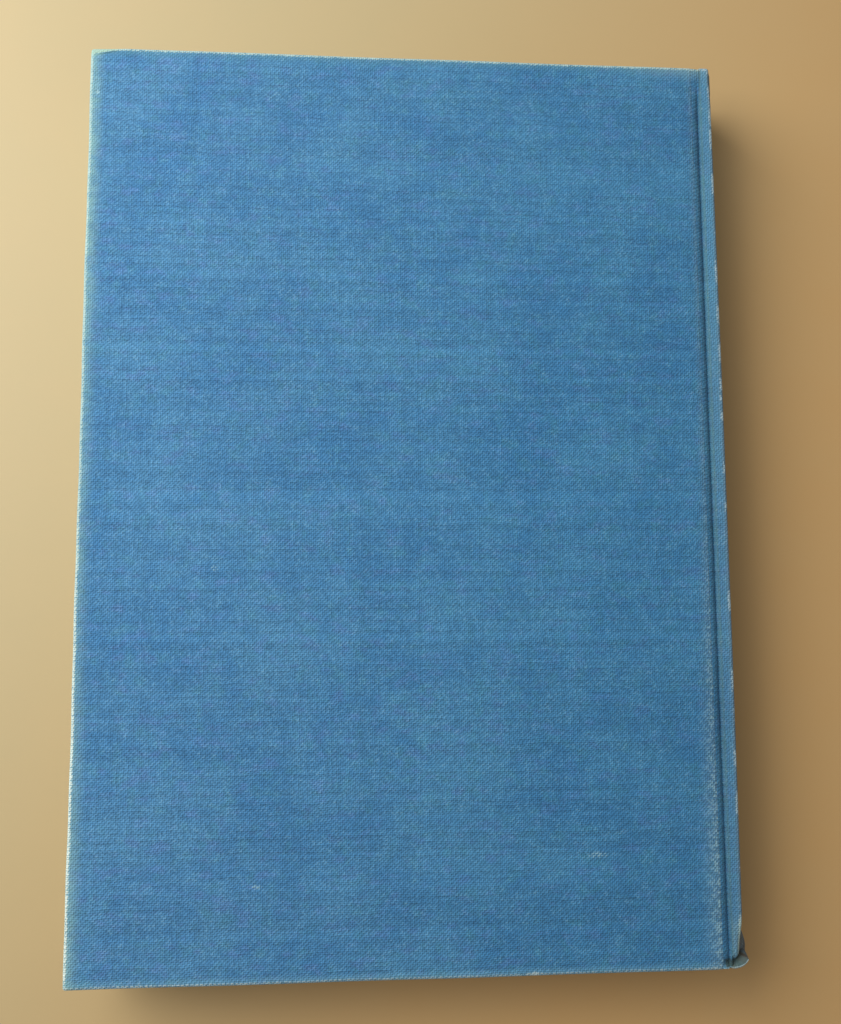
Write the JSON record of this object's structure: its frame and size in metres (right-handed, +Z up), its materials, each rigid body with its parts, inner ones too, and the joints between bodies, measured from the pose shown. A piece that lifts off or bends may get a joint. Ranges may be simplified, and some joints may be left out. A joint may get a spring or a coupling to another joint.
{
  "type": "hardback book",
  "caption": "Cloth-covered case-bound book with a flat spine, pressed grooves beside it and covers that open.",
  "frame": {"origin": "on the table under the middle of the closed book, which lies on its front cover", "axes": "+X to the spine, +Y to the head, +Z up out of the back cover"},
  "size_m": [0.155, 0.221, 0.021],
  "materials": {
    "book_cloth": "matt woven book cloth, worn pale at the edges",
    "page_paper": "trimmed uncoated paper, yellowed at the edges",
    "endpaper": "smooth uncoated paper",
    "gauze": "open starched cotton",
    "lining_paper": "brown kraft paper",
    "band_cotton": "woven cotton with a striped bead",
    "greyboard": "raw pressed board"
  },
  "bodies": {
    "text_block": {"pages": "page_paper", "back_flyleaf": "endpaper", "front_flyleaf": "endpaper", "spine_gauze": "gauze", "back_lining": "lining_paper", "headband": "band_cotton", "tailband": "band_cotton", "spine_strip": "greyboard", "spine_cloth": "book_cloth"},
    "back_cover": {"back_board": "greyboard", "back_cloth": "book_cloth", "back_pastedown": "endpaper", "back_gauze_flange": "gauze"},
    "front_cover": {"front_board": "greyboard", "front_cloth": "book_cloth", "front_pastedown": "endpaper", "front_gauze_flange": "gauze"}
  },
  "joints": [
    {"name": "back_cover_hinge", "type": "hinge", "parent": "text_block", "child": "back_cover", "pos_m": [0.07365, 0, 0.021], "axis": [0, 1, 0], "range_deg": [0, 178]},
    {"name": "front_cover_hinge", "type": "hinge", "parent": "text_block", "child": "front_cover", "pos_m": [0.07365, 0, 0], "axis": [0, -1, 0], "range_deg": [0, 178]}
  ]
}
